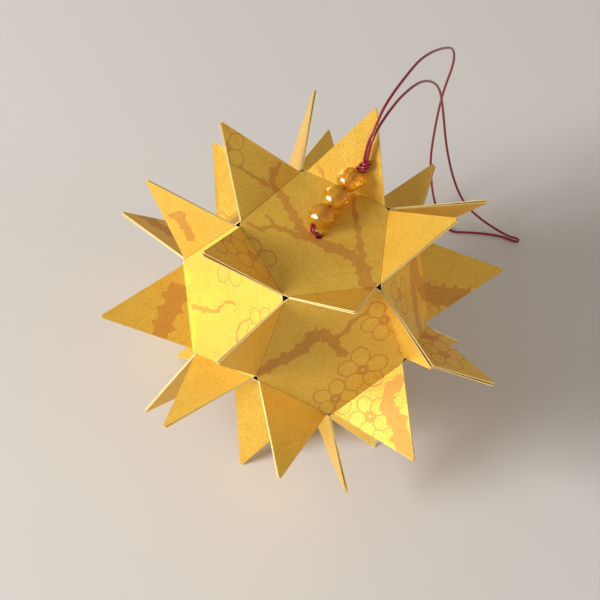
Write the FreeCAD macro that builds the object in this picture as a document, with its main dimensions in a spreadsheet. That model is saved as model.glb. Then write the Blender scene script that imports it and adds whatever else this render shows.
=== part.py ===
import FreeCAD, Part
import math
import os
import Sketcher

# Folded paper star ball: twelve five-pointed cards on the faces of a regular dodecahedron,
# glued flap to flap, with a bead hanger that comes out of the top card.
# The origin is on the table under the centre of the ball, +Z up, the front card towards -Y.

V = FreeCAD.Vector
os.makedirs("parts", exist_ok=True)
doc = FreeCAD.newDocument("paper_star_ball")

# Driving sizes, in millimetres and degrees
SIZES = {
    "card_side": "30",
    "flap_height": "28.1",
    "card_thickness": "0.3",
    "glue_gap": "0.03",
    "corner_trim": "1.2",
    "fold_relief": "0.15",
    "tip_width": "0.8",
    "foot_lean": "11",
    "cord_hole": "2.4",
    "bead_diameter": "8",
    "bead_length": "7.8",
    "bead_belt": "2.6",
    "bead_shoulder": "5.9",
    "bead_shoulder_at": "5.8",
    "bead_mouth": "3.2",
    "bead_bore": "1.9",
    "bead_gap": "0.15",
    "bead_rise": "1",
    "bead_turn": "9.5",
    "bead_offset": "0.8",
    "seat_gap": "0.1",
    "cord_diameter": "0.9",
    "strand_gap": "0.06",
    "loop_knot_length": "4.6",
    "loop_knot_width": "3.2",
    "stop_knot_diameter": "4.6",
    "stop_knot_thickness": "2.6",
}

# Lean of each fin out of its radial plane, towards the second card that it names
LEANS = {
    "top front": "12",
    "top right": "12",
    "top left": "18",
    "top back_left": "25",
    "top back_right": "3",
    "front right": "-22",
    "front left": "16",
    "front low_front_right": "2",
    "front low_front_left": "3",
    "right low_front_right": "5",
    "right low_right": "4",
    "right back_right": "-25",
    "left low_front_left": "6",
    "left back_left": "21",
    "left low_left": "0.5",
    "low_front_right low_front_left": "-12",
    "low_front_right low_right": "24",
    "low_front_left low_left": "1",
    "low_right back_right": "11",
    "low_right low_back": "-2",
    "back_left back_right": "21",
    "back_left low_back": "5",
    "back_left low_left": "2",
    "back_right low_back": "1",
    "low_back low_left": "-1",
}

# Place of each card on the ball: azimuth and elevation of its normal
RING = math.degrees(math.atan(0.5))
FACES = {
    "top": (0, 90),
    "front": (-90, RING),
    "right": (-18, RING),
    "back_right": (54, RING),
    "back_left": (126, RING),
    "left": (198, RING),
    "low_front_right": (-54, -RING),
    "low_right": (18, -RING),
    "low_back": (90, -RING),
    "low_left": (162, -RING),
    "low_front_left": (234, -RING),
    "bottom": (0, -90),
}

# Ratios of a regular dodecahedron to its side
APOTHEM = 0.5 / math.tan(math.radians(36))
INRADIUS = 1.1135163644
FIN_TILT = math.degrees(math.atan(2 / (1 + math.sqrt(5))))

sheet = doc.addObject("Spreadsheet::Sheet", "sizes")
cells = dict(SIZES)
for pair, lean in LEANS.items():
    cells["lean_" + pair.replace(" ", "_to_")] = lean
for row, (alias, value) in enumerate(cells.items(), start=1):
    sheet.set("A%d" % row, alias)
    sheet.set("B%d" % row, value)
    sheet.setAlias("B%d" % row, alias)
doc.recompute()


def size(alias):
    return float(sheet.get(alias))


def direction(azimuth, elevation):
    a = math.radians(azimuth)
    e = math.radians(elevation)
    return V(math.cos(a) * math.cos(e), math.sin(a) * math.cos(e), math.sin(e))


def plane(body, role):
    return next(f for f in body.Origin.OriginFeatures if f.Role == role)


def sketch_on(body, name, offset=None):
    sketch = body.newObject("Sketcher::SketchObject", name)
    sketch.AttachmentSupport = [(plane(body, "XY_Plane"), "")]
    sketch.MapMode = "FlatFace"
    if offset:
        sketch.setExpression("AttachmentOffset", offset)
    return sketch


def closed_outline(sketch, corners):
    for a, b in zip(corners, corners[1:] + corners[:1]):
        sketch.addGeometry(Part.LineSegment(V(*a, 0), V(*b, 0)), False)
    count = len(corners)
    for i in range(count):
        sketch.addConstraint(Sketcher.Constraint("Coincident", i, 2, (i + 1) % count, 1))


def bound(sketch, name, constraint, expression):
    index = sketch.addConstraint(constraint)
    sketch.renameConstraint(index, name)
    sketch.setExpression("Constraints." + name, expression)


def pad(body, sketch, name):
    feature = body.newObject("PartDesign::Pad", name)
    feature.Profile = sketch
    feature.setExpression("Length", "sizes.card_thickness")
    sketch.Visibility = False
    return feature


# Star card: a pentagon plate with trimmed corners and five pointed flaps folded up from its sides.
# The back of the plate is the local XY plane, and each flap's back starts on the plate's side.
CARD_REACH = "sizes.card_side * %.9f - sizes.glue_gap" % APOTHEM
FLAP_FOOT = "sizes.card_side - 2 * sizes.corner_trim - 2 * sizes.fold_relief"


def plate(body):
    sketch = sketch_on(body, "plate_outline")
    radius = size("card_side") * APOTHEM / math.cos(math.radians(36))
    corners = []
    for i in range(5):
        a = math.radians(-36 + 72 * i)
        corners.append((radius * math.cos(a), radius * math.sin(a)))
    closed_outline(sketch, corners)
    ring = sketch.addGeometry(Part.Circle(V(0, 0, 0), V(0, 0, 1), radius), True)
    sketch.addConstraint(Sketcher.Constraint("Coincident", ring, 3, -1, 1))
    for i in range(5):
        sketch.addConstraint(Sketcher.Constraint("PointOnObject", i, 1, ring))
    for i in range(1, 4):
        sketch.addConstraint(Sketcher.Constraint("Equal", 0, i))
    sketch.addConstraint(Sketcher.Constraint("Vertical", 0))
    corner_ring = "(" + CARD_REACH + ") / cos(36)"
    bound(sketch, "corner_ring", Sketcher.Constraint("Radius", ring, radius), corner_ring)
    base = pad(body, sketch, "plate")
    doc.recompute()
    upright = []
    for i, edge in enumerate(base.Shape.Edges, start=1):
        ends = [v.Point for v in edge.Vertexes]
        if abs(ends[0].z - ends[1].z) > size("card_thickness") / 2:
            upright.append("Edge%d" % i)
    trim = body.newObject("PartDesign::Chamfer", "trimmed_corners")
    trim.Base = (base, upright)
    trim.setExpression("Size", "sizes.corner_trim")


def flap(body, name, turn, fold):
    reach = CARD_REACH
    offset = "placement(vector((%s) * cos(%d); (%s) * sin(%d); 0); " % (reach, turn, reach, turn)
    offset += "rotation(%d; 0 - (%s); 0))" % (turn, fold)
    sketch = sketch_on(body, name + "_outline", offset)
    foot = size("card_side") / 2 - size("corner_trim") - size("fold_relief")
    tip = size("tip_width") / 2
    height = size("flap_height")
    closed_outline(sketch, [(0, -foot), (height, -tip), (height, tip), (0, foot)])
    sketch.addConstraint(Sketcher.Constraint("PointOnObject", 0, 1, -2))
    sketch.addConstraint(Sketcher.Constraint("Symmetric", 0, 1, 3, 1, -1))
    sketch.addConstraint(Sketcher.Constraint("Symmetric", 1, 1, 2, 1, -1))
    bound(sketch, "foot", Sketcher.Constraint("DistanceY", 0, 1, 3, 1, 2 * foot), FLAP_FOOT)
    bound(sketch, "tip", Sketcher.Constraint("DistanceY", 1, 1, 2, 1, 2 * tip), "sizes.tip_width")
    bound(sketch, "height", Sketcher.Constraint("DistanceX", 0, 1, 1, 1, height), "sizes.flap_height")
    pad(body, sketch, name)


def lean_between(card, neighbour):
    if "bottom" in (card, neighbour):
        return "sizes.foot_lean" if card == "bottom" else "(0 - sizes.foot_lean)"
    if card + " " + neighbour in LEANS:
        return "sizes.lean_%s_to_%s" % (card, neighbour)
    return "(0 - sizes.lean_%s_to_%s)" % (neighbour, card)


def star_card(card):
    normal = direction(*FACES[card])
    around = {}
    for other, place in FACES.items():
        toward = direction(*place)
        if 0.1 < normal.dot(toward) < 0.9:
            around[other] = (toward - normal * normal.dot(toward)).normalize()
    first = next(iter(around.values()))
    across = normal.cross(first)
    body = doc.addObject("PartDesign::Body", "star_card_" + card)
    body.Label = "star_card_" + card
    plate(body)
    for neighbour, toward in around.items():
        turn = round(math.degrees(math.atan2(toward.dot(across), toward.dot(first)))) % 360
        fold = "%.6f - %s" % (90 - FIN_TILT, lean_between(card, neighbour))
        flap(body, "flap_to_" + neighbour, turn, fold)
    turned = FreeCAD.Rotation(first, across, normal, "ZXY")
    body.Placement = FreeCAD.Placement(centre + normal * size("card_side") * INRADIUS, turned)
    return body


# Height of the ball's centre: it stands on the five fin tips round the bottom card
foot_angle = math.radians(FIN_TILT + size("foot_lean"))
foot_drop = size("flap_height") * math.cos(foot_angle) + size("card_thickness") * math.sin(foot_angle)
centre = V(0, 0, size("card_side") * INRADIUS + foot_drop)
cards = {}
for card_name in FACES:
    cards[card_name] = star_card(card_name)

# Cord hole through the middle of the top card
hole_sketch = sketch_on(cards["top"], "cord_hole_outline")
hole_sketch.addGeometry(Part.Circle(V(0, 0, 0), V(0, 0, 1), size("cord_hole") / 2), False)
hole_sketch.addConstraint(Sketcher.Constraint("Coincident", 0, 3, -1, 1))
hole_circle = Sketcher.Constraint("Diameter", 0, size("cord_hole"))
bound(hole_sketch, "hole", hole_circle, "sizes.cord_hole")
hole = cards["top"].newObject("PartDesign::Pocket", "cord_hole")
hole.Profile = hole_sketch
hole.Reversed = True
hole.setExpression("Length", "2 * sizes.card_thickness")
hole_sketch.Visibility = False

# Bead hanger. The beads lie in the cup of the top card, their bores on one line that leans on
# the fin towards the back right card. Its frame has +X towards that fin, on the plate's back.
top_place = FreeCAD.Placement(
    centre + V(0, 0, size("card_side") * INRADIUS),
    FreeCAD.Rotation(V(0, 0, 1), FACES["back_right"][0]),
)
fin_fold = math.radians(90 - FIN_TILT - size("lean_top_to_back_right"))
fin_foot = size("card_side") * APOTHEM - size("glue_gap")
pitch = size("bead_length") + size("bead_gap")
rise = math.asin(size("bead_rise") / pitch)
turn = math.radians(-size("bead_turn"))
bore_line = V(math.cos(turn) * math.cos(rise), math.sin(turn) * math.cos(rise), math.sin(rise))
seat = math.hypot(size("bead_diameter"), size("bead_belt")) / 2 + size("seat_gap")
upper = V(0, -size("bead_offset"), size("card_thickness") + seat + 2 * size("bead_rise"))
to_back = seat + size("card_thickness")
upper.x = fin_foot - (to_back - upper.z * math.cos(fin_fold)) / math.sin(fin_fold)


def ring_section(name, across, height):
    section = doc.addObject("Part::RegularPolygon", name)
    section.Polygon = 8
    section.setExpression("Circumradius", across + " / 2")
    section.setExpression("Placement.Base.z", height)
    section.Visibility = False
    return section


def bead(label, middle):
    half = "sizes.bead_length / 2"
    mouth = ring_section(label + "_mouth_low", "sizes.bead_mouth", "0 - " + half)
    low = ring_section(
        label + "_shoulder_low", "sizes.bead_shoulder", "0 - sizes.bead_shoulder_at / 2"
    )
    belt_low = ring_section(label + "_belt_low", "sizes.bead_diameter", "0 - sizes.bead_belt / 2")
    belt = ring_section(label + "_belt_high", "sizes.bead_diameter", "sizes.bead_belt / 2")
    high = ring_section(
        label + "_shoulder_high", "sizes.bead_shoulder", "sizes.bead_shoulder_at / 2"
    )
    end = ring_section(label + "_mouth_high", "sizes.bead_mouth", half)
    body = doc.addObject("Part::Loft", label + "_facets")
    body.Sections = [mouth, low, belt_low, belt, high, end]
    body.Solid = True
    body.Ruled = True
    bore = doc.addObject("Part::Cylinder", label + "_bore")
    bore.setExpression("Radius", "sizes.bead_bore / 2")
    bore.setExpression("Height", "2 * sizes.bead_length")
    bore.setExpression("Placement.Base.z", "0 - sizes.bead_length")
    drilled = doc.addObject("Part::Cut", label)
    drilled.Label = label
    drilled.Base = body
    drilled.Tool = bore
    aligned = FreeCAD.Rotation(V(0, 0, 1), bore_line)
    drilled.Placement = top_place * FreeCAD.Placement(middle, aligned)
    return drilled


beads = [
    bead("bead_lower", upper - bore_line * 2 * pitch),
    bead("bead_middle", upper - bore_line * pitch),
    bead("bead_upper", upper),
]


def tube(label, points, diameter):
    edges = []
    start = points[0]
    radii = []
    for before, corner, after in zip(points, points[1:], points[2:]):
        back = before - corner
        ahead = after - corner
        half_turn = (math.pi - back.getAngle(ahead)) / 2
        cut = 0.45 * min(back.Length, ahead.Length)
        radii.append(cut / math.tan(half_turn))
        entry = corner + back.normalize() * cut
        leave = corner + ahead.normalize() * cut
        inward = (back + ahead).normalize()
        reach = radii[-1] / math.cos(half_turn) - radii[-1]
        edges.append(Part.LineSegment(start, entry).toShape())
        edges.append(Part.Arc(entry, corner + inward * reach, leave).toShape())
        start = leave
    edges.append(Part.LineSegment(start, points[-1]).toShape())
    path = Part.Wire(edges)
    circle = Part.Circle(points[0], points[1] - points[0], diameter / 2)
    section = Part.Wire(circle.toShape())
    solid = path.makePipeShell([section], True, True)
    feature = doc.addObject("Part::Feature", label)
    feature.Label = label
    feature.Shape = solid
    ideal = math.pi * diameter ** 2 / 4 * path.Length
    print(label, "length %.1f" % path.Length, "volume %.3f of %.3f" % (solid.Volume, ideal))
    print(label, "bend radii", " ".join("%.1f" % radius for radius in radii))
    return feature


def knot(label, length, width, middle, axis):
    lump = doc.addObject("Part::Ellipsoid", label)
    lump.Label = label
    lump.setExpression("Radius1", length + " / 2")
    lump.setExpression("Radius2", width + " / 2")
    lump.setExpression("Radius3", width + " / 2")
    lump.Placement = FreeCAD.Placement(middle, FreeCAD.Rotation(V(0, 0, 1), axis))
    return lump


# Doubled cord from the knot under the top card, through the beads, to the knot over them
mouth = upper - bore_line * (2 * pitch + size("bead_length") / 2)
stem_points = [
    V(0, 0, -size("seat_gap") / 2),
    V(0, 0, size("card_thickness") + 1.1),
    V(-1.5, 1.4, 2.4),
    mouth - bore_line * 1.2,
    upper + bore_line * (size("bead_length") / 2 + 0.6),
]
stem_points = [top_place.multVec(point) for point in stem_points]
stem = tube("cord_stem", stem_points, 2 * size("cord_diameter") - size("strand_gap"))
below = V(0, 0, -size("seat_gap") - size("stop_knot_thickness") / 2)
stop_knot = knot(
    "stop_knot",
    "sizes.stop_knot_thickness",
    "sizes.stop_knot_diameter",
    top_place.multVec(below),
    V(0, 0, 1),
)

# Hanging loop: up along the fin, over its edge, down to the table and back, folded at its end
LOOP = [
    (17.1, 19.1, 99.3),
    (17.7, 20.7, 101.9),
    (18.6, 22.4, 105.4),
    (21.1, 25.1, 109.3),
    (23.4, 28.5, 111.5),
    (27.6, 33.7, 112.2),
    (34.0, 41.5, 110.0),
    (40.8, 49.9, 106.5),
    (47.3, 56.7, 101.5),
    (54.6, 63.9, 94.0),
    (61.2, 70.3, 85.5),
    (63.6, 72.0, 78.0),
    (64.3, 73.1, 70.0),
    (64.3, 74.1, 61.5),
    (64.5, 75.1, 52.5),
    (64.8, 75.2, 42.5),
    (65.3, 74.8, 30.0),
    (65.7, 72.7, 16.5),
    (66.6, 66.4, 6.5),
    (67.8, 59.4, 1.6),
    (70.4, 50.6, 0.7),
    (76.7, 49.5, 1.0),
    (83.6, 47.8, 1.2),
    (89.1, 46.3, 0.8),
    (91.7, 45.1, 0.5),
    (93.4, 44.0, 0.5),
    (95.2, 43.0, 0.5),
    (95.2, 43.0, 2.5),
    (93.4, 43.9, 2.5),
    (91.6, 44.9, 2.5),
    (89.2, 46.9, 2.6),
    (85.7, 49.9, 3.2),
    (81.1, 53.3, 5.2),
    (75.8, 56.8, 10.2),
    (71.6, 59.5, 19.0),
    (67.7, 60.9, 30.5),
    (64.2, 62.0, 43.5),
    (61.3, 62.0, 56.0),
    (57.6, 60.5, 70.5),
    (54.0, 58.2, 81.0),
    (48.5, 53.7, 90.5),
    (41.7, 47.6, 98.5),
    (32.9, 37.9, 105.5),
    (26.6, 30.2, 108.9),
    (22.1, 25.0, 108.5),
    (19.4, 22.0, 105.2),
    (18.6, 20.3, 101.9),
    (17.9, 18.7, 99.3),
]
loop_points = [V(*point) for point in LOOP]
loop = tube("cord_loop", loop_points, size("cord_diameter"))

# Knot beside the upper bead's mouth, where the doubled cord becomes the loop
KNOT_LINE = V(0.34, 0.42, 0.84).normalize()
KNOT_TO_LOOP = V(0.15, 1.1, 2.3)
loop_end = (loop_points[0] + loop_points[-1]) / 2
knot_middle = loop_end - KNOT_TO_LOOP
loop_knot = knot(
    "loop_knot", "sizes.loop_knot_length", "sizes.loop_knot_width", knot_middle, KNOT_LINE
)

doc.recompute()

for item in doc.Objects:
    if "Invalid" in item.State or "Error" in item.State:
        raise RuntimeError("%s failed: %s" % (item.Name, item.State))

nodes = list(cards.values()) + beads + [stem, stop_knot, loop, loop_knot]
for node in nodes:
    shape = node.Shape
    if shape.isNull() or not shape.isValid() or len(shape.Solids) != 1:
        raise RuntimeError(node.Label + " has no valid solid")
for node in nodes:
    node.Shape.exportStep("parts/" + node.Label + ".step")
    print(node.Label, "volume %.2f" % node.Shape.Volume)
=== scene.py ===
import bmesh
import bpy
import math
import numpy as np
import random
from mathutils import Matrix, Vector
from mathutils.geometry import delaunay_2d_cdt


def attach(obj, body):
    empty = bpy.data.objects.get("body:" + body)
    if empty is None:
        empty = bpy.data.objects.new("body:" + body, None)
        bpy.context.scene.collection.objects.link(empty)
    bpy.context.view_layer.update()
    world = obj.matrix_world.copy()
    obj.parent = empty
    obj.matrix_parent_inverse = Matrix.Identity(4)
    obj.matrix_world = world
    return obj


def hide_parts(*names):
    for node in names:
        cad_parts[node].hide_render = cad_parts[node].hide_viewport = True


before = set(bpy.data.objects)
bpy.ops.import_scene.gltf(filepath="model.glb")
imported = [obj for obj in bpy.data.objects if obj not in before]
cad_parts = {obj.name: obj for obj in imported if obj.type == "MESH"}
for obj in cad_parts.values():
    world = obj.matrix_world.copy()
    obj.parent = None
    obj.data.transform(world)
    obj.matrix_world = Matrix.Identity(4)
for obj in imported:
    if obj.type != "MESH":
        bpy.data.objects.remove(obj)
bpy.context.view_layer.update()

# Camera. It looks down on the ball from the front left, turned a little on its own axis,
# with the ball filling about two thirds of the picture.
CAMERA_PLACE = (-0.11825, -0.29918, 0.56169)
CAMERA_HEADING = -21.244
CAMERA_DOWN = 57.887
CAMERA_ROLL = 11.58
camera_data = bpy.data.cameras.new("camera")
camera_data.sensor_width = 36
camera_data.lens = 110.67
camera_data.clip_start = 0.01
camera = bpy.data.objects.new("camera", camera_data)
bpy.context.scene.collection.objects.link(camera)
look = Matrix.Rotation(math.radians(CAMERA_HEADING), 4, "Z")
look = look @ Matrix.Rotation(math.radians(90 - CAMERA_DOWN), 4, "X")
look = look @ Matrix.Rotation(math.radians(CAMERA_ROLL), 4, "Z")
camera.matrix_world = Matrix.Translation(CAMERA_PLACE) @ look
bpy.context.scene.camera = camera
bpy.context.scene.view_settings.view_transform = "Standard"


# Floor and light. A pale matt table top, one wide soft lamp low on the left, a weak one on the
# right, and an even pale room light that fills the cups from above.
FLOOR_HALF = 3


def linear(colour):
    parts = [int(colour[i : i + 2], 16) / 255 for i in (1, 3, 5)]
    return [p / 12.92 if p <= 0.04045 else ((p + 0.055) / 1.055) ** 2.4 for p in parts] + [1]


def add_node(tree, kind, settings=None, links=None):
    node = tree.nodes.new(kind)
    for name, value in (settings or {}).items():
        if isinstance(name, int) or name in node.inputs:
            node.inputs[name].default_value = value
        else:
            setattr(node, name, value)
    for name, source in (links or {}).items():
        tree.links.new(source, node.inputs[name])
    return node


def material(name):
    made = bpy.data.materials.new(name)
    made.use_nodes = True
    made.node_tree.nodes.clear()
    return made, made.node_tree


def finish_material(tree, shader):
    output = tree.nodes.new("ShaderNodeOutputMaterial")
    tree.links.new(shader.outputs[0], output.inputs["Surface"])


# Painted table top: an even pale grey without gloss, which keeps the ball's soft shadow
floor_paint, tree = material("pale_table_top")
shader = add_node(
    tree, "ShaderNodeBsdfPrincipled", {"Base Color": linear("#E2E0DC"), "Roughness": 0.7}
)
finish_material(tree, shader)
floor_mesh = bpy.data.meshes.new("table_top")
corners = [(x * FLOOR_HALF, y * FLOOR_HALF, 0) for x, y in ((-1, -1), (1, -1), (1, 1), (-1, 1))]
floor_mesh.from_pydata(corners, [], [(0, 1, 2, 3)])
floor_mesh.materials.append(floor_paint)
floor = bpy.data.objects.new("table_top", floor_mesh)
bpy.context.scene.collection.objects.link(floor)
BALL_MIDDLE = Vector((0, 0, 0.054))


def add_lamp(name, toward, distance, size, power):
    data = bpy.data.lights.new(name, "AREA")
    data.shape = "DISK"
    data.size = size
    data.energy = power
    lamp = bpy.data.objects.new(name, data)
    bpy.context.scene.collection.objects.link(lamp)
    toward = Vector(toward).normalized()
    lamp.location = BALL_MIDDLE + toward * distance
    lamp.rotation_euler = toward.to_track_quat("Z", "Y").to_euler()


add_lamp("left_lamp", toward=(-0.9, -0.1, 0.42), distance=1.3, size=0.55, power=18)
add_lamp("right_fill", toward=(0.87, -0.43, 0.24), distance=1.2, size=0.5, power=2.4)

world = bpy.data.worlds.new("pale_room")
world.use_nodes = True
world.node_tree.nodes.clear()
sky = add_node(
    world.node_tree, "ShaderNodeBackground", {"Color": linear("#F6EBE1"), "Strength": 0.36}
)
output = world.node_tree.nodes.new("ShaderNodeOutputWorld")
world.node_tree.links.new(sky.outputs[0], output.inputs["Surface"])
bpy.context.scene.world = world

# Hanging loop. Waxed polyester cord 0.9 mm thick, dark crimson and glossy, folded double: it
# climbs along a fin, bends over it and falls to the table, where its fold lies flat.
CORD = 0.0009
LOOP = [
    (17.1, 19.1, 99.3), (17.7, 20.7, 101.9), (18.6, 22.4, 105.4), (21.1, 25.1, 109.3),
    (23.4, 28.5, 111.5), (27.6, 33.7, 112.2), (34.0, 41.5, 110.0), (40.8, 49.9, 106.5),
    (47.3, 56.7, 101.5), (54.6, 63.9, 94.0), (61.2, 70.3, 85.5), (63.6, 72.0, 78.0),
    (64.3, 73.1, 70.0), (64.3, 74.1, 61.5), (64.5, 75.1, 52.5), (64.8, 75.2, 42.5),
    (65.3, 74.8, 30.0), (65.7, 72.7, 16.5), (66.6, 66.4, 6.5), (67.8, 59.4, 1.6),
    (70.4, 50.6, 0.7), (76.7, 49.5, 1.0), (83.6, 47.8, 1.2), (89.1, 46.3, 0.8),
    (91.7, 45.1, 0.5), (93.4, 44.0, 0.5), (95.2, 43.0, 0.5), (95.2, 43.0, 2.5),
    (93.4, 43.9, 2.5), (91.6, 44.9, 2.5), (89.2, 46.9, 2.6), (85.7, 49.9, 3.2),
    (81.1, 53.3, 5.2), (75.8, 56.8, 10.2), (71.6, 59.5, 19.0), (67.7, 60.9, 30.5),
    (64.2, 62.0, 43.5), (61.3, 62.0, 56.0), (57.6, 60.5, 70.5), (54.0, 58.2, 81.0),
    (48.5, 53.7, 90.5), (41.7, 47.6, 98.5), (32.9, 37.9, 105.5), (26.6, 30.2, 108.9),
    (22.1, 25.0, 108.5), (19.4, 22.0, 105.2), (18.6, 20.3, 101.9), (17.9, 18.7, 99.3),
]  # fmt: skip


def nurbs_piece(name, routes, radius, paint):
    data = bpy.data.curves.new(name, "CURVE")
    data.dimensions = "3D"
    data.bevel_depth = radius
    data.bevel_resolution = 4
    data.use_fill_caps = True
    for route in routes:
        spline = data.splines.new("NURBS")
        spline.points.add(len(route) - 1)
        for point, place in zip(spline.points, route):
            point.co = (*place, 1)
        spline.order_u = 3
        spline.use_endpoint_u = True
        spline.resolution_u = 8
    data.materials.append(paint)
    piece = bpy.data.objects.new(name, data)
    bpy.context.scene.collection.objects.link(piece)
    return piece


# Waxed polyester: a deep crimson with a soft wax gloss and the fine ribs of a tight twist
RIB_MM = 0.2381
waxed_cord, tree = material("waxed_polyester_cord")
place = add_node(tree, "ShaderNodeTexCoord")
ribs = add_node(
    tree,
    "ShaderNodeTexNoise",
    {"Scale": 1000 / RIB_MM, "Detail": 2, "Roughness": 0.5},
    {"Vector": place.outputs["Object"]},
)
tint = add_node(tree, "ShaderNodeValToRGB", {}, {"Fac": ribs.outputs["Fac"]})
tint.color_ramp.elements[0].position = 0.3
tint.color_ramp.elements[0].color = linear("#74091C")
tint.color_ramp.elements[1].position = 0.7
tint.color_ramp.elements[1].color = linear("#A8122E")
bump = add_node(
    tree, "ShaderNodeBump", {"Strength": 0.35, "Distance": 0.00005}, {"Height": ribs.outputs["Fac"]}
)
shader = add_node(
    tree,
    "ShaderNodeBsdfPrincipled",
    {"Roughness": 0.35, "Coat Weight": 0.5, "Coat Roughness": 0.22},
    {"Base Color": tint.outputs["Color"], "Normal": bump.outputs["Normal"]},
)
finish_material(tree, shader)

loop = nurbs_piece(
    "hanging_loop", [[Vector(p) / 1000 for p in LOOP]], CORD / 2, waxed_cord
)
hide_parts("cord_loop")
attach(loop, "root")

# Bead hanger's cord. The same cord, doubled: two strands come up through the hole of the top
# card, pass through the three beads side by side and enter the knot beside the upper bead.
PLATE_TOP = Vector((0, 0, 0.08766))
HANGER_AZIMUTH = 54
BORE_TURN = 9.5
BEAD_PITCH = 0.00795
BEAD_RISE = 0.001
STRAND_GAP = 0.00006
STRAND_SQUEEZE = 0.9


def hanger(x, y, z):
    turn = Matrix.Rotation(math.radians(HANGER_AZIMUTH), 3, "Z")
    return PLATE_TOP + turn @ Vector((x, y, z)) / 1000


bore_turn = math.radians(HANGER_AZIMUTH - BORE_TURN)
bore_rise = math.asin(BEAD_RISE / BEAD_PITCH)
bore_line = Vector((math.cos(bore_turn), math.sin(bore_turn), math.tan(bore_rise))).normalized()
bead_upper = Vector((12.16, 15.38, 94.26)) / 1000
bead_middle = bead_upper - bore_line * BEAD_PITCH
bead_lower = bead_middle - bore_line * BEAD_PITCH
bead_places = {
    "bead_lower": bead_lower,
    "bead_middle": bead_middle,
    "bead_upper": bead_upper,
}
knot_line = Vector((0.34, 0.42, 0.84)).normalized()
loop_end = (Vector(LOOP[0]) + Vector(LOOP[-1])) / 2000
knot_middle = loop_end - Vector((0.15, 1.1, 2.3)) / 1000

stem_route = [
    hanger(0, 0, -0.9),
    hanger(0, 0, 0.3),
    hanger(0, 0, 1.4),
    hanger(-1.5, 1.4, 2.4),
    bead_lower - bore_line * 0.0051,
    bead_lower - bore_line * 0.002,
    bead_middle,
    bead_upper,
    bead_upper + bore_line * 0.0042,
    bead_upper + bore_line * 0.0052 + knot_line * 0.0004,
    knot_middle - knot_line * 0.0012,
]
beside = Vector((-math.sin(bore_turn), math.cos(bore_turn), 0))
strand_half = (CORD + STRAND_GAP) / 2 * STRAND_SQUEEZE
stem = nurbs_piece(
    "hanger_strands",
    [[p + beside * side * strand_half for p in stem_route] for side in (-1, 1)],
    CORD / 2,
    waxed_cord,
)
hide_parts("cord_stem")
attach(stem, "root")


# Knots. The doubled cord is tied in one tight overhand knot over the upper bead and in another
# under the top card, which keeps the beads on it. Two strands wind round the knot's line and a
# third lies over them.
KNOT_STEPS = 40
OVER_STEPS = 12
KNOT_TAPER = 0.72
OVER_TAPER = 0.6


def tight_knot(middle, axis, length, radius, turns, skew):
    across = axis.cross(Vector((0.3, -0.8, 0.5))).normalized()
    third = axis.cross(across)
    routes = []
    for half_turn in (0, math.pi):
        route = []
        for i in range(KNOT_STEPS + 1):
            u = 2 * i / KNOT_STEPS - 1
            a = half_turn + math.pi * turns * u
            r = radius * math.sqrt(1 - KNOT_TAPER * u * u)
            along = u * length / 2 + skew * math.cos(a + 0.6)
            spot = across * math.cos(a) + third * math.sin(a)
            route.append(middle + axis * along + spot * r)
        routes.append(route)
    over = []
    for i in range(OVER_STEPS + 1):
        u = 2 * i / OVER_STEPS - 1
        a = 2.4 + 0.9 * u
        spot = across * math.cos(a) + third * math.sin(a)
        r = (radius + CORD * 0.55) * math.sqrt(1 - OVER_TAPER * u * u)
        over.append(middle + axis * u * length * 0.5 + spot * r)
    routes.append(over)
    return routes


# A strand from inside the knot to just past the loop's own end, in line with the loop
def lead(inner, outer, beyond):
    return [inner, inner.lerp(outer, 0.5), outer, outer.lerp(beyond, 0.12)]


loop_leads = []
for near, far in ((0, 1), (-1, -2)):
    loop_leads.append(lead(knot_middle, Vector(LOOP[near]) / 1000, Vector(LOOP[far]) / 1000))
loop_turns = tight_knot(
    knot_middle, knot_line, length=0.0038, radius=0.00118, turns=1.7, skew=0.0005
)
loop_knot = nurbs_piece("loop_knot_strands", loop_turns + loop_leads, CORD / 2, waxed_cord)
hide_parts("loop_knot")
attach(loop_knot, "root")

stop_turns = tight_knot(
    hanger(0, 0, -1.5), Vector((1, 0, 0)), length=0.0034, radius=0.0008, turns=1.7, skew=0.0002
)
stop_knot = nurbs_piece("stop_knot_strands", stop_turns, CORD / 2, waxed_cord)
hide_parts("stop_knot")
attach(stop_knot, "root")

# Beads. Three fire-polished glass beads 8 mm across, faceted all round, cloudy amber with a thin
# lustre coat; their bores lie on one line and the doubled cord fills them. Each ring is its place
# along the bore and its radius, in millimetres.
BEAD_RINGS = [(-3.9, 1.6), (-2.9, 2.95), (-1.3, 4.0), (1.3, 4.0), (2.9, 2.95), (3.9, 1.6)]
BEAD_SIDES = 8
BEAD_EDGE = 0.12
BORE_RADIUS = 0.95
BORE_MOUTH = 3.8
FIRST_BEAD_TURN = 9
NEXT_BEAD_TURN = 2

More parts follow.
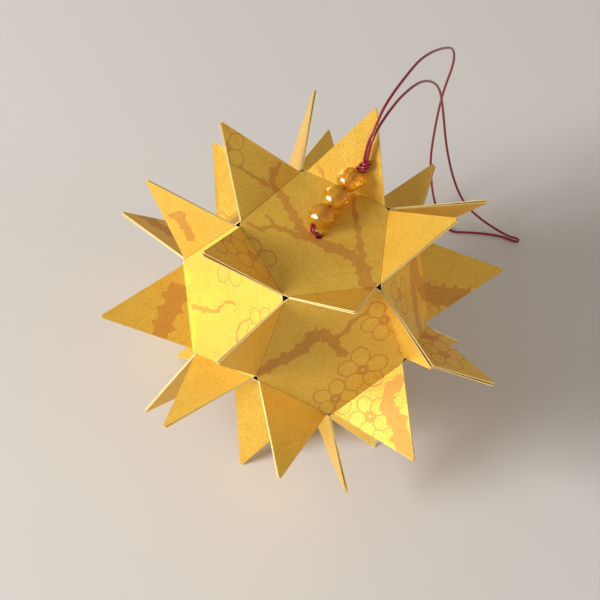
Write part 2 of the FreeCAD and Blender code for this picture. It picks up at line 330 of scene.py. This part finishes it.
# Amber glass: honey colour glowing through a slightly cloudy body, under a smooth glossy skin
CLOUD_MM = 3.8462
amber_glass, tree = material("amber_glass")
place = add_node(tree, "ShaderNodeTexCoord")
clouds = add_node(
    tree,
    "ShaderNodeTexNoise",
    {"Scale": 1000 / CLOUD_MM, "Detail": 2},
    {"Vector": place.outputs["Object"]},
)
tint = add_node(tree, "ShaderNodeValToRGB", {}, {"Fac": clouds.outputs["Fac"]})
tint.color_ramp.elements[0].position = 0.35
tint.color_ramp.elements[0].color = linear("#F7B420")
tint.color_ramp.elements[1].position = 0.65
tint.color_ramp.elements[1].color = linear("#FFD048")
film = add_node(
    tree,
    "ShaderNodeMapRange",
    {"From Min": 0.3, "From Max": 0.7, "To Min": 90, "To Max": 150},
    {"Value": clouds.outputs["Fac"]},
)
shader = add_node(
    tree,
    "ShaderNodeBsdfPrincipled",
    {
        "Roughness": 0.08,
        "IOR": 1.52,
        "Transmission Weight": 0.66,
        "Subsurface Weight": 0.85,
        "Subsurface Radius": (0.0009, 0.0006, 0.0002),
        "Subsurface Scale": 1.0,
        "Thin Film IOR": 1.6,
    },
    {"Base Color": tint.outputs["Color"], "Thin Film Thickness": film.outputs["Result"]},
)
finish_material(tree, shader)


def bead_mesh(name):
    shape = bmesh.new()
    rings = []
    for height, radius in BEAD_RINGS:
        ring = []
        for i in range(BEAD_SIDES):
            a = 2 * math.pi * i / BEAD_SIDES
            spot = (radius * math.cos(a), radius * math.sin(a), height)
            ring.append(shape.verts.new(spot))
        rings.append(ring)
    for low, high in zip(rings, rings[1:]):
        for i in range(BEAD_SIDES):
            j = (i + 1) % BEAD_SIDES
            shape.faces.new((low[i], low[j], high[j], high[i]))
    edges = [e for e in shape.edges if not e.is_boundary]
    bmesh.ops.bevel(
        shape, geom=edges, offset=BEAD_EDGE, segments=2, profile=0.5, affect="EDGES"
    )
    for sign in (-1, 1):
        rim = [e for e in shape.edges if e.is_boundary]
        rim = [e for e in rim if e.verts[0].co.z * sign > 0]
        made = bmesh.ops.extrude_edge_only(shape, edges=rim)
        inner = [v for v in made["geom"] if isinstance(v, bmesh.types.BMVert)]
        for v in inner:
            v.co = Vector((v.co.x, v.co.y, 0)).normalized() * BORE_RADIUS
            v.co.z = sign * BORE_MOUTH
    rim = [e for e in shape.edges if e.is_boundary]
    bmesh.ops.bridge_loops(shape, edges=rim)
    bmesh.ops.recalc_face_normals(shape, faces=shape.faces)
    mesh = bpy.data.meshes.new(name)
    bmesh.ops.scale(shape, vec=(0.001, 0.001, 0.001), verts=shape.verts)
    shape.to_mesh(mesh)
    shape.free()
    mesh.shade_smooth()
    mesh.set_sharp_from_angle(angle=math.radians(12))
    mesh.materials.append(amber_glass)
    return mesh


for number, (node, middle) in enumerate(bead_places.items()):
    piece = bpy.data.objects.new(node + "_glass", bead_mesh(node + "_glass"))
    bpy.context.scene.collection.objects.link(piece)
    turned = Matrix.Rotation(math.radians(FIRST_BEAD_TURN + NEXT_BEAD_TURN * number), 4, "Z")
    aligned = bore_line.to_track_quat("Z", "Y").to_matrix().to_4x4()
    piece.data.transform(Matrix.Translation(middle) @ aligned @ turned)
    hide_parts(node)
    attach(piece, "root")

# Star cards. Twelve pieces of pearly gold card, each a pentagon with five pointed flaps folded
# up along scored lines and glued back to back with its neighbours' flaps. A tone darker print
# of plum branches and outlined blossoms runs over the outer side. Sizes are in millimetres.
SIDE = 30
APOTHEM = SIDE * 0.5 / math.tan(math.radians(36))
INRADIUS = SIDE * 1.1135163644
GLUE_GAP = 0.03
REACH = APOTHEM - GLUE_GAP
THICK = 0.3
TRIM = 1.2
FOLD_RELIEF = 0.15
FOOT = SIDE / 2 - TRIM - FOLD_RELIEF
TIP = 0.4
HEIGHT = 28.1
BEND = 0.28
CORD_HOLE = 2.4
CENTRE_HEIGHT = 54.2543
RING = math.degrees(math.atan(0.5))
FACES = {
    "top": (0, 90),
    "front": (-90, RING),
    "right": (-18, RING),
    "back_right": (54, RING),
    "back_left": (126, RING),
    "left": (198, RING),
    "low_front_right": (-54, -RING),
    "low_right": (18, -RING),
    "low_back": (90, -RING),
    "low_left": (162, -RING),
    "low_front_left": (234, -RING),
    "bottom": (0, -90),
}
LEANS = {
    "top front": 12,
    "top right": 12,
    "top left": 18,
    "top back_left": 25,
    "top back_right": 3,
    "front right": -22,
    "front left": 16,
    "front low_front_right": 2,
    "front low_front_left": 3,
    "right low_front_right": 5,
    "right low_right": 4,
    "right back_right": -25,
    "left low_front_left": 6,
    "left back_left": 21,
    "left low_left": 0.5,
    "low_front_right low_front_left": -12,
    "low_front_right low_right": 24,
    "low_front_left low_left": 1,
    "low_right back_right": 11,
    "low_right low_back": -2,
    "back_left back_right": 21,
    "back_left low_back": 5,
    "back_left low_left": 2,
    "back_right low_back": 1,
    "low_back low_left": -1,
}
FOOT_LEAN = 11
for name in FACES:
    LEANS["bottom " + name] = FOOT_LEAN

GRAIN_MM = 0.58824
MOTTLE_MM = 5.5556


# Pearly card: a warm yellow gold with a soft metallic lustre and a fine grain like felt
def card_material(name, light, dark, roughness, metallic, gloss):
    made, tree = material(name)
    place = add_node(tree, "ShaderNodeTexCoord")
    grain = add_node(
        tree,
        "ShaderNodeTexNoise",
        {"Scale": 1000 / GRAIN_MM, "Detail": 4, "Roughness": 0.7},
        {"Vector": place.outputs["Object"]},
    )
    mottle = add_node(
        tree,
        "ShaderNodeTexNoise",
        {"Scale": 1000 / MOTTLE_MM, "Detail": 3, "Roughness": 0.55},
        {"Vector": place.outputs["Object"]},
    )
    mixed = add_node(
        tree,
        "ShaderNodeMath",
        {"operation": "MULTIPLY_ADD", 1: 0.25},
        {0: mottle.outputs["Fac"], 2: grain.outputs["Fac"]},
    )
    tint = add_node(tree, "ShaderNodeValToRGB", {}, {"Fac": mixed.outputs["Value"]})
    tint.color_ramp.elements[0].position = 0.45
    tint.color_ramp.elements[0].color = linear(dark)
    tint.color_ramp.elements[1].position = 0.8
    tint.color_ramp.elements[1].color = linear(light)
    shine = add_node(
        tree,
        "ShaderNodeMapRange",
        {
            "From Min": 0.3,
            "From Max": 0.7,
            "To Min": roughness - 0.08,
            "To Max": roughness + 0.08,
        },
        {"Value": grain.outputs["Fac"]},
    )
    bump = add_node(
        tree,
        "ShaderNodeBump",
        {"Strength": 1.0, "Distance": 0.00009},
        {"Height": grain.outputs["Fac"]},
    )
    shader = add_node(
        tree,
        "ShaderNodeBsdfPrincipled",
        {"Metallic": metallic, "Specular IOR Level": gloss},
        {
            "Base Color": tint.outputs["Color"],
            "Roughness": shine.outputs["Result"],
            "Normal": bump.outputs["Normal"],
        },
    )
    finish_material(tree, shader)
    return made


# The card itself; its print, browner and less shiny; its cut edge, pale bare pulp; and the scored
# line at each fold, pressed a little dark and darkened further with painted shade of the fold
pearl_card = card_material("pearl_gold_card", "#FFD358", "#EAB63C", 0.34, 0.36, 0.5)
printed_card = card_material("printed_branch_ink", "#E6A84A", "#D49638", 0.4, 0.3, 0.45)
card_core = card_material("cut_card_core", "#FBE7A6", "#EFD68A", 0.6, 0.0, 0.3)
# Crease paint: the score's own slightly darker tone with painted shade of the fold laid over it
crease_score_and_shade = card_material("scored_crease_with_painted_shade", "#A87A2C", "#926620", 0.5, 0.3, 0.15)


def direction(azimuth, elevation):
    a, e = math.radians(azimuth), math.radians(elevation)
    return Vector((math.cos(a) * math.cos(e), math.sin(a) * math.cos(e), math.sin(e)))


def lean_between(card, other):
    if card + " " + other in LEANS:
        return LEANS[card + " " + other]
    return -LEANS[other + " " + card]


# An outline drawn by hand: a circle or an oval whose radius wavers a little
def wobbly_ring(x, y, radius, count, rough, chance, stretch=1.0, turn=0.0):
    points = []
    for i in range(count):
        a = 2 * math.pi * i / count
        r = radius * (1 + rough * chance.uniform(-1, 1))
        u, v = r * stretch * math.cos(a), r * math.sin(a)
        points.append(
            (
                x + u * math.cos(turn) - v * math.sin(turn),
                y + u * math.sin(turn) + v * math.cos(turn),
            )
        )
    return points


PETAL_LINE = 0.22


# A plum blossom: five round outlined petals about a filled heart with a light dot. Each shape is
# an outline and 1 for ink or 0 for bare card, and later shapes lie over earlier ones.
def blossom(x, y, radius, turn, chance):
    shapes = []
    for i in range(5):
        a = turn + 2 * math.pi * i / 5 + chance.uniform(-0.08, 0.08)
        size = radius * chance.uniform(0.36, 0.4)
        reach = radius * 0.62
        px, py = x + reach * math.cos(a), y + reach * math.sin(a)
        stretch = chance.uniform(1.0, 1.25)
        outer, inner = size + PETAL_LINE, size - PETAL_LINE
        shapes.append((wobbly_ring(px, py, outer, 18, 0.02, chance, stretch, a), 1))
        shapes.append((wobbly_ring(px, py, inner, 18, 0.02, chance, stretch, a), 0))
    shapes.append((wobbly_ring(x, y, radius * 0.27, 14, 0.1, chance), 1))
    shapes.append((wobbly_ring(x, y, radius * 0.08, 7, 0.1, chance), 0))
    return shapes


BRANCH_STEP = 0.9


# A plum branch: an uneven band along its line, with short blunt knobs where twigs were
def branch(line, widths, chance):
    line = [Vector(p) for p in line]
    steps = []
    for i in range(len(line) - 1):
        before = line[max(i - 1, 0)]
        a, b = line[i], line[i + 1]
        after = line[min(i + 2, len(line) - 1)]
        count = max(2, round((b - a).length / BRANCH_STEP))
        for j in range(count):
            t = j / count
            p = 0.5 * (
                2 * a
                + (b - before) * t
                + (2 * before - 5 * a + 4 * b - after) * t * t
                + (3 * a - before - 3 * b + after) * t**3
            )
            steps.append(p)
    steps.append(line[-1])
    sides = ([], [])
    for side, sign in zip(sides, (1, -1)):
        knobs = [chance.uniform(1, 6)]
        while knobs[-1] < len(steps):
            knobs.append(knobs[-1] + chance.uniform(3.5, 8))
        for i, p in enumerate(steps):
            ahead = (steps[min(i + 1, len(steps) - 1)] - steps[max(i - 1, 0)]).normalized()
            normal = Vector((-ahead.y, ahead.x))
            share = i / (len(steps) - 1)
            half = (widths[0] + (widths[1] - widths[0]) * share) / 2
            reach = half * (1 + chance.uniform(-0.1, 0.14))
            if min(abs(i - k) for k in knobs) < 0.8:
                reach += 0.35 + 0.4 * half * chance.uniform(0.7, 1.2)
            side.append(p + normal * sign * reach)
    outline = sides[0] + sides[1][::-1]
    return [([(p.x, p.y) for p in outline], 1)]


PRINT_EDGE = 46
TRUNK_RUN = 13
TWIG_RUN = 6.5


# A free run of the print for the cards without a drawn part: a trunk, twigs and blossoms
def free_print(chance):
    shapes = []
    angle = chance.uniform(0, 2 * math.pi)
    start = Vector((math.cos(angle), math.sin(angle))) * PRINT_EDGE
    heading = angle + math.pi + chance.uniform(-0.4, 0.4)
    line = [start]
    for _ in range(7):
        heading += chance.uniform(-0.55, 0.55)
        line.append(line[-1] + Vector((math.cos(heading), math.sin(heading))) * TRUNK_RUN)
    shapes += branch(line, (chance.uniform(3.5, 5.5), 1.6), chance)
    for p, q in zip(line[1:-1], line[2:]):
        side = chance.choice((-1, 1)) * chance.uniform(0.5, 1.1)
        way = (q - p).angle_signed(Vector((1, 0))) + side
        twig = [p]
        for _ in range(3):
            way += chance.uniform(-0.35, 0.35)
            twig.append(twig[-1] + Vector((math.cos(way), math.sin(way))) * TWIG_RUN)
        shapes += branch(twig, (1.8, 0.7), chance)
        shapes += blossom(*twig[-1], chance.uniform(6, 8.2), chance.uniform(0, 6), chance)
        if chance.random() < 0.5:
            shapes += blossom(
                twig[-1].x + chance.uniform(-9, 9),
                twig[-1].y + chance.uniform(-9, 9),
                chance.uniform(5.5, 7.5),
                chance.uniform(0, 6),
                chance,
            )
    return shapes


# The parts of the print that face up in the picture, in millimetres on the unfolded cards
def drawn_print(card, chance):
    shapes = []
    if card == "top":
        trunk = [
            (27, 13), (18.9, 11.4), (12.8, 10.8), (8.9, 9.0), (5.5, 4.6), (2.0, -0.8),
            (-1.5, -4.0), (-10.7, -7.1), (-17.6, -9.0), (-20, -11.2), (-26.1, -11.6),
        ]  # fmt: skip
        shapes += branch(trunk[:6], (4.2, 3.0), chance)
        shapes += branch(trunk[5:], (2.6, 1.7), chance)
        shapes += branch([(-23, -11.4), (-25.4, -9.6), (-27.6, -8.4)], (1.7, 1.2), chance)
        shapes += branch(
            [(10.5, 11.3), (4.3, 12.2), (-2.5, 12.6), (-10.1, 13.2), (-14.5, 14)],
            (2.0, 1.0),
            chance,
        )
        shapes += branch(
            [(1, -3.6), (-2.7, -8.7), (-5.4, -13.4), (-4.9, -17.6), (-7.8, -21.6)],
            (1.9, 0.9),
            chance,
        )
        shapes += branch([(-5.4, -13), (-8.2, -13.6), (-9.6, -15.4)], (1.0, 0.6), chance)
        shapes += branch(
            [(-20, -12.4), (-22.3, -16.9), (-24.8, -21.5), (-27.5, -25.5)], (1.2, 0.5), chance
        )
        shapes += blossom(-31.5, -27.5, 7.0, 0.9, chance)
        shapes += blossom(6.4, -23.4, 8.2, 0.3, chance)
        shapes += blossom(4.0, -36.5, 7.4, 1.0, chance)
        shapes += branch([(-20.6, 6.2), (-24.9, 5.8), (-29.5, 4.4)], (0.8, 0.4), chance)
    if card == "front":
        trunk = [(-10, 31), (-6.4, 24.7), (-2.8, 18.4), (0, 12), (4, 7.2), (7.0, 3.6)]
        shapes += branch(trunk, (2.6, 3.9), chance)
        shapes += branch([(7.2, 4.2), (4.4, 0.9), (0.5, -1.6), (-3.1, -4.9)], (3.6, 2.0), chance)
        shapes += branch(
            [(3.4, -0.9), (6.4, -4.4), (9.6, -6.8), (13.2, -12.5)], (1.7, 0.9), chance
        )
        shapes += blossom(8.6, -16.6, 7.2, 0.5, chance)
        shapes += blossom(-19.0, -1.6, 7.0, 1.2, chance)
        shapes += blossom(-9.2, -10.2, 8.0, 0.15, chance)
        shapes += blossom(-26.0, -13.6, 7.0, 0.5, chance)
        thick = [(-13, -24), (-18, -19.6), (-23, -19.6), (-30, -23.8), (-40, -26.4)]
        shapes += branch(thick, (3.2, 5.6), chance)
        shapes += blossom(-2.5, -28.5, 6.6, 0.4, chance)
    if card == "left":
        shapes += branch(
            [(-15, 11), (-11, 6.6), (-7, 2.4), (-0.2, 0.8), (2.2, -3)], (1.4, 0.5), chance
        )
        shapes += branch([(-9, -18), (-4.4, -9.2), (0.5, -8.2), (4.6, -10)], (1.2, 0.5), chance)
        shapes += blossom(9.5, 8.5, 7.4, 0.6, chance)
        shapes += blossom(6.4, -14.6, 6.4, 0.2, chance)
        shapes += branch([(-14, 19.5), (-20, 16), (-25, 14), (-33, 10)], (6.2, 4.6), chance)
        shapes += branch([(10, 34), (6.2, 28), (2.4, 25)], (4.6, 2.6), chance)
    if card == "right":
        shapes += branch(
            [(18, -8), (6, -9), (-4, -11), (-12, -8), (-20, -9), (-34, -14)], (4.5, 6.5), chance
        )
        shapes += branch([(-4, -11), (-8, -2), (-16, 6), (-26, 9)], (5.0, 3.4), chance)
        shapes += blossom(4, 7, 7.6, 0.4, chance)
        shapes += blossom(-28, -1, 6.6, 0.4, chance)
        shapes += blossom(-25, 17, 7.4, 0.8, chance)
    return shapes


# Which points lie inside a closed outline, by counting its crossings to the right of each
def inside(points, polygon):
    x, y = points[:, 0], points[:, 1]
    hit = np.zeros(len(points), bool)
    corners = np.array(polygon)
    for (ax, ay), (bx, by) in zip(corners, np.roll(corners, -1, axis=0)):
        if ay == by:
            continue
        crosses = (ay > y) != (by > y)
        hit ^= crosses & (x < (bx - ax) * (y - ay) / (by - ay) + ax)
    return hit


TURNS = [math.radians(72 * i) for i in range(5)]
OUTWARD = [(math.cos(a), math.sin(a)) for a in TURNS]


# Which points lie on the flat card: its pentagon without the trimmed corners, or one of its flaps
def on_card(points):
    corner_limit = REACH / math.cos(math.radians(36)) - TRIM * math.sin(math.radians(36))
    plate = np.ones(len(points), bool)
    flaps = np.zeros(len(points), bool)
    for (ox, oy), a in zip(OUTWARD, TURNS):
        out = points[:, 0] * ox + points[:, 1] * oy - REACH
        along = -points[:, 0] * oy + points[:, 1] * ox
        plate &= out <= 0
        c = a + math.radians(36)
        plate &= points[:, 0] * math.cos(c) + points[:, 1] * math.sin(c) <= corner_limit
        edge = FOOT + (TIP - FOOT) * out / HEIGHT
        flaps |= (out >= 0) & (out <= HEIGHT) & (np.abs(along) <= edge)
    return plate | flaps


GRID = 2.0
GRID_ROWS = 26
PRINT_REACH = 50
INK = 1
EDGE = 2
CREASE_SHADE = 3


# The card before folding, as triangles that follow its outline, its five creases, its hole and
# the outlines of the print, with the paint of each triangle
def flat_sheet(shapes, hole, chance):
    verts, edges = [], []

    def add_line(points, closed):
        first = len(verts)
        verts.extend(Vector(p) for p in points)
        edges.extend((first + i, first + i + 1) for i in range(len(points) - 1))
        if closed:
            edges.append((first + len(points) - 1, first))

    half = REACH * math.tan(math.radians(36)) - TRIM
    outline = []
    for (ox, oy), a in zip(OUTWARD, TURNS):
        for out, along in (
            (0, -half), (0, -FOOT), (HEIGHT, -TIP), (HEIGHT, TIP), (0, FOOT), (0, half)
        ):  # fmt: skip
            r = REACH + out
            outline.append((r * ox - along * oy, r * oy + along * ox))
        for q in (-BEND, -BEND / 2, 0, BEND / 2, BEND):
            reach = REACH + q
            wide = half if q <= 0 else FOOT + (TIP - FOOT) * q / HEIGHT
            ends = [(reach * ox - s * oy, reach * oy + s * ox) for s in (-wide, wide)]
            add_line(ends, False)
    add_line(outline, True)
    for i in range(-GRID_ROWS, GRID_ROWS + 1):
        for j in range(-GRID_ROWS, GRID_ROWS + 1):
            x = (i + 0.5 * (j % 2)) * GRID + chance.uniform(-0.2, 0.2)
            y = j * GRID * 0.87 + chance.uniform(-0.2, 0.2)
            verts.append(Vector((x, y)))
    near = [s for s in shapes if min(math.hypot(*p) for p in s[0]) < PRINT_REACH]
    for polygon, _ in near:
        add_line(polygon, True)
    if hole:
        ring = wobbly_ring(0, 0, hole / 2, 20, 0, chance)
        add_line(ring, True)
    points, _, faces = delaunay_2d_cdt(verts, edges, [], 0, 1e-4)[:3]
    points = np.array([tuple(p) for p in points])
    faces = np.array(faces)
    middles = points[faces].mean(axis=1)
    kept = on_card(middles)
    if hole:
        kept &= ~inside(middles, ring)
    faces, middles = faces[kept], middles[kept]
    ink = np.zeros(len(faces), int)
    for polygon, inked in near:
        ink[inside(middles, polygon)] = INK if inked else 0
    # A narrow strip along each crease gets the crease paint: painted shade over the darker score
    for ox, oy in OUTWARD:
        out = middles[:, 0] * ox + middles[:, 1] * oy - REACH
        ink[np.abs(out) < BEND * 0.5] = CREASE_SHADE
    used = np.unique(faces)
    renumber = np.zeros(len(points), int)
    renumber[used] = np.arange(len(used))
    return points[used], renumber[faces], ink


PLATE_WAVE = 0.05
WAVE_RADIUS = 19


# The folded card: each flap turns up over a small round crease and bows a little, and the plate
# has a faint wave. It gives the outer side and the side that faces the ball's middle.
def fold_card(points, folds, chance):
    back = np.zeros((len(points), 3))
    face = np.zeros((len(points), 3))
    back[:, :2] = points
    wave = PLATE_WAVE * np.sin(points[:, 0] / 6.1 + chance.uniform(0, 6))
    wave *= np.sin(points[:, 1] / 7.3 + chance.uniform(0, 6))
    inner = np.clip(1 - np.hypot(points[:, 0], points[:, 1]) / WAVE_RADIUS, 0, 1)
    back[:, 2] = wave * inner
    face[:, 2] = 1
    for (ox, oy), fold in zip(OUTWARD, folds):
        angle, bow, shear, short = fold
        out = points[:, 0] * ox + points[:, 1] * oy - REACH
        along = -points[:, 0] * oy + points[:, 1] * ox
        part = out > -BEND
        q, s = out[part], along[part]
        ca, sa = math.cos(angle), math.sin(angle)
        t = np.clip((q + BEND) / (2 * BEND), 0, 1)
        beyond = np.clip(q - BEND, 0, None) * (1 - short)
        p_out = -BEND * (1 - t) ** 2 + BEND * ca * t**2 + beyond * ca
        p_up = BEND * sa * t**2 + beyond * sa
        d_out = (1 - t) + ca * t
        d_up = sa * t
        length = np.hypot(d_out, d_up)
        n_out, n_up = -d_up / length, d_out / length
        lift = bow * (np.clip(q, 0, None) / HEIGHT) ** 2
        p_out, p_up = p_out + n_out * lift, p_up + n_up * lift
        s = s + shear * np.clip(q, 0, None)
        r = REACH + p_out
        back[part] = np.stack([r * ox - s * oy, r * oy + s * ox, p_up], axis=1)
        face[part] = np.stack([n_out * ox, n_out * oy, n_up], axis=1)
    return back, back + face * THICK


# A flap that doesn't lean is folded up by half the angle between two faces of the ball
FOLD = 58.283
# Cards in view, whose print is drawn one by one; the low front left one is plain
DRAWN_CARDS = ("top", "front", "left", "right", "low_front_left")


def card_piece(card, number):
    normal = direction(*FACES[card])
    around = {}
    for other, place in FACES.items():
        toward = direction(*place)
        if 0.1 < normal.dot(toward) < 0.9:
            around[other] = (toward - normal * normal.dot(toward)).normalized()
    first = next(iter(around.values()))
    across = normal.cross(first)
    chance = random.Random(100 + number)
    folds = [None] * 5
    for other, toward in around.items():
        turn = math.degrees(math.atan2(toward.dot(across), toward.dot(first)))
        angle = math.radians(FOLD - lean_between(card, other))
        low = "bottom" in (card, other)
        bow = 0 if low else chance.uniform(0.0, 0.32)
        shear = 0 if low else chance.uniform(-0.009, 0.009)
        short = 0 if low else chance.uniform(0, 0.009)
        folds[round(turn / 72) % 5] = (angle, bow, shear, short)
    shapes = drawn_print(card, chance) if card in DRAWN_CARDS else free_print(chance)
    points, faces, ink = flat_sheet(shapes, CORD_HOLE if card == "top" else 0, chance)
    back, face = fold_card(points, folds, chance)
    count = len(points)
    verts = np.concatenate([face, back])
    matrix = Matrix((first, across, normal)).transposed()
    origin = Vector((0, 0, CENTRE_HEIGHT)) + normal * INRADIUS
    world = verts @ np.array(matrix).T + np.array(origin)
    sides = {}
    for a, b, c in faces:
        for p, q in ((a, b), (b, c), (c, a)):
            if (q, p) in sides:
                del sides[(q, p)]
            else:
                sides[(p, q)] = True
    strip = [(q, p, p + count, q + count) for p, q in sides]
    polygons = [tuple(int(i) for i in f) for f in faces]
    polygons += [tuple(int(i) + count for i in f[::-1]) for f in faces]
    polygons += [tuple(int(i) for i in f) for f in strip]
    mesh = bpy.data.meshes.new("star_card_" + card)
    mesh.from_pydata((world / 1000).tolist(), [], polygons)
    for paint in (pearl_card, printed_card, card_core, crease_score_and_shade):
        mesh.materials.append(paint)
    slots = np.concatenate([ink, np.zeros(len(faces), int), np.full(len(strip), EDGE)])
    mesh.polygons.foreach_set("material_index", slots.astype(np.int32))
    mesh.shade_smooth()
    mesh.set_sharp_from_angle(angle=math.radians(50))
    piece = bpy.data.objects.new("card_" + card, mesh)
    bpy.context.scene.collection.objects.link(piece)
    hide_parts("star_card_" + card)
    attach(piece, "root")
    return piece


for number, card in enumerate(FACES):
    card_piece(card, number)
